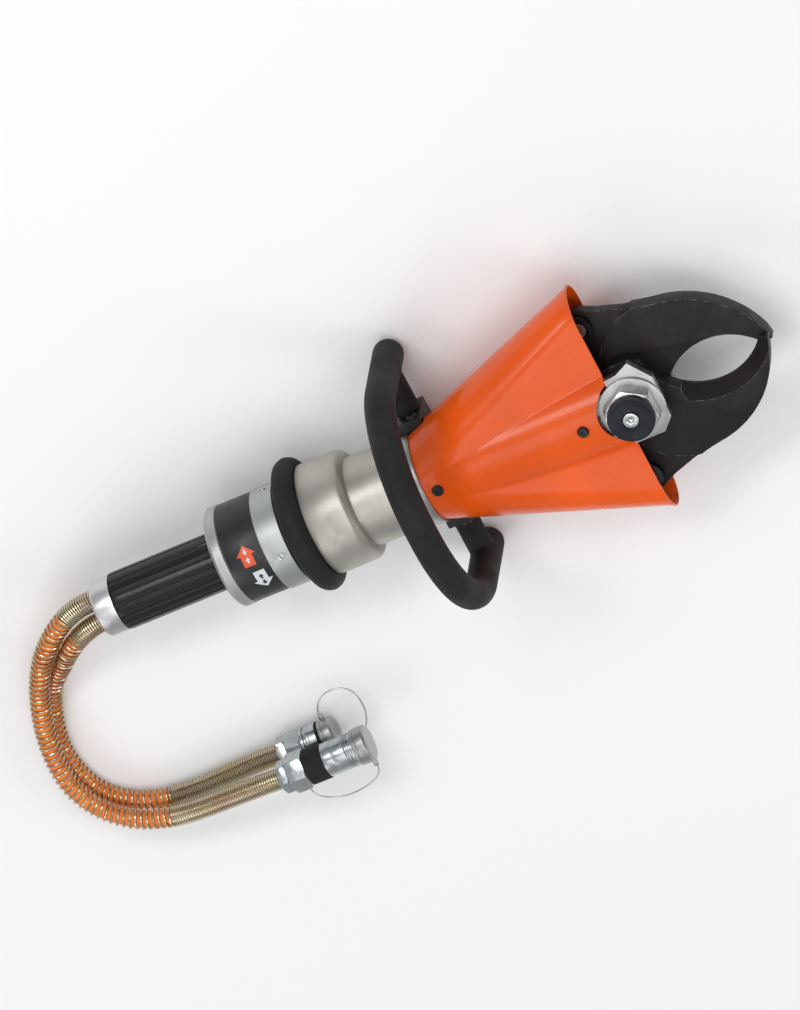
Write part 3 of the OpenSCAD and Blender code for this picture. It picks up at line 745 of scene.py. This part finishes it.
flanges_b = add_detail(turned("coupler_b_collar", rounded(from_start(COUPLER_B, [
    (26.8, 0), (26.8, 16.8), (30, 16.8), (30.4, 14.5), (32.6, 14.5), (33, 17.5), (36, 17.5),
    (36.4, 16.6), (43.9, 16.8), (43.9, 10), (57, 10), (57, 0),
]), 0.5, 3), COUPLER_B, 96), "coupler_body_b")
seal_b = place(copy_of("coupler_seal_b", 0.8, segments=3), "coupler_seal_b")
cap_a = dust_cap("dust_cap_a_cap", "dust_cap_a", COUPLER_A, 82, 19, 15)
cap_b = dust_cap("dust_cap_b_cap", "dust_cap_b", COUPLER_B, 47, 17.3, 14)
crimp_a = crimp("dust_cap_a_crimp", "dust_cap_a", COUPLER_A, 92, 19, -1)
crimp_b = crimp("dust_cap_b_crimp", "dust_cap_b", COUPLER_B, 54, 17.3, 1)


# ---------- control end ----------

def ribbed_grip():
    """The twist grip: broad ribs with round grooves between them, notched at the front end."""
    x0, x1 = x_range("control_grip")
    r = radius_of("control_grip")
    grooves = 14
    per_groove = 18
    sides = grooves * per_groove
    neck = x1 - 6
    outline = rounded([
        (x0, 24), (x0, r), (neck, r), (neck, 27), (x1, 27), (x1, 22.2),
    ], 1.8, 5)
    stations = [outline[0]]
    for before, after in zip(outline, outline[1:]):
        cuts = max(1, int((after - before).length / 6))
        stations += [before.lerp(after, (i + 1) / cuts) for i in range(cuts)]
    points = []
    for x, radius in stations:
        run_out = min(1.0, max(0.0, (radius - 24) / 4))
        notch = 1.0 + 0.9 * max(0.0, 1 - abs(neck - 5 - x) / 5)
        for k in range(sides):
            a = 2 * math.pi * (k + 0.5) / sides
            across = abs(((k + 0.5) / per_groove) % 1 - 0.5) * 2
            shape = max(0.0, (across - 0.62) / 0.38)
            dip = 1.25 * run_out * notch * math.sin(shape * math.pi / 2) ** 2
            q = (radius - dip) * MM
            points.append((x * MM, AXIS.y + q * math.cos(a), AXIS.z + q * math.sin(a)))
    faces = ring_faces(len(stations), sides, closed=True)
    obj = mesh_object("control_grip_ribbed", points, faces)
    shade(obj, 40)
    return place(obj, "control_grip")


def housing_rim():
    x0, x1 = x_range("housing_rim")
    r = radius_of("housing_rim")
    outline = rounded([
        (x0 + 8, 27.6), (x0 + 1, 27.6), (x0, 29), (x0, r - 3.2), (x0 + 3.2, r), (x1 - 1.2, r),
        (x1, r - 1.4), (x1, 40),
    ], 1.4, 5)
    return place(turned("housing_rim_turned", outline), "housing_rim")


def label_arrow(name, shape, centre_angle, station, level, flip, material):
    """A flat mark bent round the label band. Its shape is a list of (round, along) in millimetres."""
    bm = bmesh.new()
    corners = [bm.verts.new((flip * u, v, 0)) for u, v in shape]
    bm.faces.new(corners)
    for i in range(-14, 15):
        geometry = bm.verts[:] + bm.edges[:] + bm.faces[:]
        bmesh.ops.bisect_plane(bm, geom=geometry, plane_co=(i, 0, 0), plane_no=(1, 0, 0))
    for vertex in bm.verts:
        a = centre_angle + vertex.co.x / level
        vertex.co = (
            (station + vertex.co.y) * MM,
            AXIS.y + level * MM * math.sin(a),
            AXIS.z + level * MM * math.cos(a),
        )
    bmesh.ops.recalc_face_normals(bm, faces=bm.faces)
    obj = object_of(name, bm)
    thick = obj.modifiers.new("thickness", "SOLIDIFY")
    thick.thickness = 0.3 * MM
    thick.offset = 0
    apply_modifiers(obj)
    return add_detail(obj, "label_band", material)


def label_marks():
    """Two plain block arrows round the band: the red one for closing, the white one for opening."""
    level = radius_of("label_band") + 0.1
    big = [(-11, -6), (1, -6), (1, -10), (11, 0), (1, 10), (1, 6), (-11, 6)]
    small = [(-3.2, -1), (-0.4, -1), (-0.4, -2.6), (3, 0), (-0.4, 2.6), (-0.4, 1), (-3.2, 1)]
    marks = (("mark_close", 15, -193, 1, "mark_red", "mark_white", 1),
             ("mark_open", -18, -189, -1, "mark_white", "label_black", -1))
    for name, degrees, station, flip, outer, inner, facing in marks:
        angle = math.radians(degrees)
        label_arrow(name, big, angle, station, level, flip, outer)
        for end in (-1, 1):
            away = [(-facing * end * u - 4.2 * -end, v) for u, v in small]
            label = name + ("_left" if end < 0 else "_right")
            label_arrow(label, away, angle, station, level + 0.2, 1, inner)


def rubber_ring():
    """The rubber bumper ring, with the fine parting line of its mould."""
    x0, x1 = x_range("bumper_ring")
    section = (x1 - x0) / 2
    ring_r = radius_of("bumper_ring") - section
    outline = []
    for k in range(64):
        a = 2 * math.pi * k / 64
        proud = 0.25 * max(0.0, 1 - abs(a - math.pi / 2) / 0.06)
        r = section - 0.25 + proud
        outline.append(((x0 + x1) / 2 + r * math.cos(a), ring_r + r * math.sin(a)))
    return place(turned("bumper_ring_moulded", outline, sides=160, ring=True), "bumper_ring")


def collar():
    """The cylinder's thick collar, rounded over its front lip."""
    x0, x1 = x_range("cylinder_collar")
    r = radius_of("cylinder_collar")
    inner = radius_of("cylinder_barrel") - 0.5
    lip = 9
    arc = [
        (x1 - lip + lip * math.sin(a), r - lip + lip * math.cos(a))
        for a in (math.radians(6 * i) for i in range(16))
    ]
    outline = [(x0, inner), (x0, r - 1), (x0 + 0.3, r - 0.3), (x0 + 1, r)] + arc + [(x1, inner)]
    return place(turned("cylinder_collar_turned", outline, sides=160), "cylinder_collar")


def barrel():
    x0, x1 = x_range("cylinder_barrel")
    r = radius_of("cylinder_barrel")
    groove = x1 - 9
    outline = rounded([
        (x0, 20), (x0, r), (groove, r), (groove + 0.3, r - 0.8), (groove + 1.5, r - 0.8),
        (groove + 1.8, r), (x1, r), (x1, 20),
    ], 0.6, 3)
    return place(turned("cylinder_barrel_turned", outline, sides=160), "cylinder_barrel")


place(copy_of("end_cap", 0.7, segments=3), "end_cap")
ribbed_grip()
housing_rim()
place(copy_of("valve_housing", 0.8, segments=3), "valve_housing")
place(copy_of("label_band", 0.2), "label_band")
label_marks()
place(copy_of("housing_screws", 0.4), "housing_screws")
rubber_ring()
collar()
barrel()
place(copy_of("front_flange", 0.9, segments=3), "front_flange")


# ---------- guard ----------

SHEET = 2.0
CREASE_R = 7.0
GUARD_REAR_R = 47.5
GUARD_MOUTH_Z = 30.0
# The painted sheet lies this far inside the CAD guard's outer face, and flares out to it at the
# mouth over the last share of its length
GUARD_INSET = 0.9
FLARE_START = 0.965
FLARE_OVER = 0.035
PIVOT_CUT_R = 35
FOOT_CUT_Y = (30, 70)


def guard_quarter(t, mouth_y, bulge_r):
    """A quarter of the guard's outline as (y, z) in millimetres, from the side to the top, at the
    share t of its length: a flat wing round a raised middle, joined by a hollow crease."""
    r = GUARD_REAR_R + (GUARD_MOUTH_Z - GUARD_REAR_R) * t
    a = max((mouth_y - GUARD_MOUTH_Z) * t, 1e-3)
    big = GUARD_REAR_R + (bulge_r - GUARD_REAR_R) * t
    wing_reach, big_reach = r + CREASE_R, big + CREASE_R
    y = (big_reach ** 2 - wing_reach ** 2 + a * a) / (2 * a)
    if y < a:
        y = math.sqrt(max(big_reach ** 2 - wing_reach ** 2, 0))
        z = wing_reach
        wing_end = math.pi / 2
    else:
        y = min(y, big_reach)
        z = math.sqrt(max(big_reach ** 2 - y * y, 0))
        wing_end = math.atan2(z, y - a)
    out = []
    for i in range(17):
        angle = wing_end * i / 16
        out.append((a + r * math.cos(angle), r * math.sin(angle)))
    start = Vector(out[-1])
    flat_end = Vector((min(y, a), r)) if wing_end >= math.pi / 2 - 1e-9 else start
    for i in range(1, 9):
        out.append(tuple(start.lerp(flat_end, i / 8)))
    first = math.atan2(out[-1][1] - z, out[-1][0] - y)
    last = math.atan2(-z, -y)
    if last > 0:
        last -= 2 * math.pi
    if first > 0:
        first -= 2 * math.pi
    for i in range(1, 9):
        angle = first + (last - first) * i / 8
        out.append((y + CREASE_R * math.cos(angle), z + CREASE_R * math.sin(angle)))
    low = math.atan2(z, y)
    for i in range(1, 17):
        angle = low + (math.pi / 2 - low) * i / 16
        out.append((big * math.cos(angle), big * math.sin(angle)))
    return out


def guard_sheet():
    """The painted sheet guard, open at both ends, with a flared mouth."""
    low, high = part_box("guard")
    x0, x1 = low.x / MM, high.x / MM
    mouth_y = high.y / MM
    bulge_r = (high.z - AXIS.z) / MM
    stations = 40
    points = []
    for i in range(stations + 1):
        t = i / stations
        quarter = guard_quarter(t, mouth_y, bulge_r)
        half = quarter + [(-y, z) for y, z in reversed(quarter[:-1])]
        loop = half + [(y, -z) for y, z in reversed(half[1:-1])]
        flare = GUARD_INSET * max(0.0, (t - FLARE_START) / FLARE_OVER) ** 2
        x = x0 + (x1 - x0) * t
        for y, z in loop:
            reach = math.hypot(y, z)
            grow = (reach - GUARD_INSET + flare) / reach
            points.append((x * MM, AXIS.y + y * grow * MM, AXIS.z + z * grow * MM))
    faces = ring_faces(stations + 1, len(points) // (stations + 1))
    obj = mesh_object("guard_sheet", points, faces)
    thick = obj.modifiers.new("thickness", "SOLIDIFY")
    thick.thickness = SHEET * MM
    thick.offset = -1
    thick.use_even_offset = True
    apply_modifiers(obj)
    return obj


def disc_cutter(radius):
    """A round cutter along Z at the pivot."""
    bm = bmesh.new()
    bmesh.ops.create_cone(
        bm, cap_ends=True, segments=128, radius1=radius * MM, radius2=radius * MM, depth=0.2,
        matrix=Matrix.Translation(PIVOT),
    )
    return object_of("cutter", bm)


def box_cutter(low, high):
    bm = bmesh.new()
    size = high - low
    place_matrix = Matrix.Translation((low + high) / 2) @ Matrix.Diagonal((*size, 1))
    bmesh.ops.create_cube(bm, size=1, matrix=place_matrix)
    return object_of("cutter", bm)


def finished_guard():
    """The guard with its cut-outs for the pivot and the handle's feet."""
    obj = guard_sheet()
    combine(obj, disc_cutter(PIVOT_CUT_R))
    foot_low, foot_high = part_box("handle_feet")
    for side in (-1, 1):
        reach = sorted(side * y * MM for y in FOOT_CUT_Y)
        corner = Vector((foot_low.x, reach[0], foot_low.z - 0.6 * MM))
        other = Vector((foot_high.x + 1.6 * MM, reach[1], foot_high.z + 0.6 * MM))
        combine(obj, box_cutter(corner, other))
    bevel(obj, 0.7, 3, 50)
    shade(obj, 40)
    return place(obj, "guard")


finished_guard()
place(copy_of("guard_screws", 0.5, segments=3), "guard_screws")


# ---------- handle ----------

BOW_BEND = 104
ARM_DEPTH = 22
ARM_R = 13
BOW_VOXEL = 1.4


def arc_points(centre, radius, start, end, steps):
    """Points of an arc in the plane across the tool, as (0, y, z)."""
    angles = np.radians(np.linspace(start, end, steps))
    y = centre[0] + radius * np.cos(angles)
    z = centre[1] + radius * np.sin(angles)
    return np.column_stack([np.zeros(steps), y, z])


def bow_cover():
    """The rubber cover of the bow: one thick tube, round-ended legs and two thinner arms."""
    low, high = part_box("handle_cover")
    r = (high.x - low.x) / 2 / MM
    leg_y = high.y / MM - r
    top = high.z / MM - r
    foot = low.z / MM + r
    bend_z = top - BOW_BEND
    bend_y = leg_y - BOW_BEND
    dome = np.radians(np.linspace(0, 90, 9))[:-1]
    leg_end = foot - r * np.cos(dome)
    leg_up = np.linspace(foot, bend_z, 30)[:-1]
    left = np.array([(0, leg_y, z) for z in [*leg_end, *leg_up]])
    bend = arc_points((bend_y, bend_z), BOW_BEND, 0, 90, 40)
    half = np.vstack([left, bend])
    path = np.vstack([half, half[::-1] * (1, -1, 1)])
    ends = np.maximum(r * np.sin(dome), 0.3)
    radii = np.concatenate([ends, np.full(len(path) - 2 * len(ends), r), ends[::-1]])
    obj = tube("handle_cover_rubber", path, radii, 48)
    foot_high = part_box("handle_feet")[1].y / MM
    arm_z = AXIS.z / MM - ARM_DEPTH
    for side in (-1, 1):
        arm = np.array([(0, side * y, arm_z) for y in np.linspace(foot_high + 0.3, leg_y, 12)])
        combine(obj, tube("arm", arm, ARM_R - 0.15, 48), "UNION")
    remesh = obj.modifiers.new("remesh", "REMESH")
    remesh.mode = "VOXEL"
    remesh.voxel_size = BOW_VOXEL * MM
    smooth = obj.modifiers.new("smooth", "SMOOTH")
    smooth.iterations = 5
    smooth.factor = 0.5
    apply_modifiers(obj)
    shade(obj, 60)
    return place(obj, "handle_cover")


bow_cover()
place(copy_of("handle_feet", 2.0, segments=4), "handle_feet")
place(copy_of("handle_bolts", 0.5, segments=3), "handle_bolts")


# ---------- blades and pivot ----------

THROAT = Vector((84, -42))
THROAT_R = 63
# The bevel of the cutting edge: how far it widens over how much height, the heights from the
# middle plane between which it cuts, and how far from the pivot it starts
CUT_BEVEL = 12
CUT_DEPTH = 17.0
CUT_Z = (3.2, 26)
HUB_CLEAR_X = 46


def throat_cone(side):
    """The cutter of a blade's bevel along its inner edge. Side is -1 on the far blade."""
    low, high = (z * MM for z in CUT_Z)
    slope = CUT_BEVEL / CUT_DEPTH
    bm = bmesh.new()
    centre_z = side * (low + high) / 2
    radii = [THROAT_R * MM, THROAT_R * MM + slope * (high - low)]
    if side < 0:
        radii.reverse()
    bmesh.ops.create_cone(
        bm, cap_ends=True, segments=180, radius1=radii[0], radius2=radii[1], depth=high - low,
        matrix=Matrix.Translation(PIVOT + Vector((THROAT.x * MM, side * -THROAT.y * MM, centre_z))),
    )
    return object_of("cutter", bm)


def finished_blade(node, side):
    obj = copy_of(node, 0)
    cutter = throat_cone(side)
    jaw = box_cutter(
        PIVOT + Vector((HUB_CLEAR_X * MM, -0.2, -0.05)), PIVOT + Vector((0.25, 0.2, 0.05))
    )
    combine(cutter, jaw, "INTERSECT")
    combine(obj, cutter)
    bevel(obj, 1.1, 3, 28)
    shade(obj, 35)
    return place(obj, node)


finished_blade("blade_upper", -1)
finished_blade("blade_lower", 1)


def cap_disc():
    """The dark lock cap in the nut: a turned disc with a rim and a recess round its screw."""
    low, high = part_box("lock_cap_front")
    r = (high.x - low.x) / 2 / MM
    bottom, top = low.z / MM, high.z / MM
    outline = rounded([
        (bottom, 0), (bottom, r), (top - 0.2, r), (top, r - 1.4), (top, r - 4), (top - 0.5, r - 4.6),
        (top - 0.5, 9.6), (top, 9), (top, 8), (top - 2.8, 7.8), (top - 2.8, 0),
    ], 0.35, 3)
    sides = 128
    points = []
    for z, q in outline:
        for k in range(sides):
            a = 2 * math.pi * k / sides
            points.append((PIVOT.x + q * MM * math.cos(a), PIVOT.y + q * MM * math.sin(a), z * MM))
    obj = mesh_object("lock_cap_front_turned", points, ring_faces(len(outline), sides))
    shade(obj)
    return place(obj, "lock_cap_front")


cap_disc()
for solid, width in (
    ("yoke", 0.9), ("pivot_washers", 0.6), ("pivot_nut_front", 0.6), ("pivot_nut_back", 0.6),
    ("lock_cap_back", 0.5), ("lock_screw", 0.5),
):
    place(copy_of(solid, width, segments=3), solid)


# ---------- floor and light ----------

def pale_floor():
    material = Nodes("floor")
    base = material.mix(material.noise(1.5, 2), (0.93, 0.93, 0.93), (0.95, 0.95, 0.95))
    rough = material.ramp(material.noise(4, 2), 0.3, 0.7, 0.75, 0.85)
    finished = material.finish(base, rough, material.bump(material.noise(60, 2), 0.01))
    mesh = bpy.data.meshes.new("floor")
    size = 12
    corners = [(-size, -size, 0), (size, -size, 0), (size, size, 0), (-size, size, 0)]
    mesh.from_pydata(corners, [], [(0, 1, 2, 3)])
    floor = new_object("floor", mesh)
    mesh.materials.append(finished)


def soft_light(name, place_at, size, power):
    data = bpy.data.lights.new(name, "AREA")
    data.shape = "RECTANGLE"
    data.size, data.size_y = size
    data.energy = power
    light = new_object(name, data)
    light.location = place_at
    light.rotation_euler = (TARGET - Vector(place_at)).to_track_quat("-Z", "Y").to_euler()


def studio():
    world = bpy.data.worlds.new("studio")
    world.use_nodes = True
    background = world.node_tree.nodes["Background"]
    background.inputs["Color"].default_value = (0.92, 0.94, 0.97, 1)
    background.inputs["Strength"].default_value = 0.46
    bpy.context.scene.world = world
    bpy.context.scene.view_settings.view_transform = "Standard"
    soft_light("key", (-0.3, 1.3, 1.7), (1.3, 0.5), 13)
    soft_light("fill", (-1.5, -1.0, 1.5), (1.0, 1.0), 7)
    soft_light("rim", (1.5, -0.8, 1.4), (0.7, 1.2), 8)
    soft_light("top", (0.0, -0.1, 3.6), (2.4, 2.4), 30)


pale_floor()
studio()
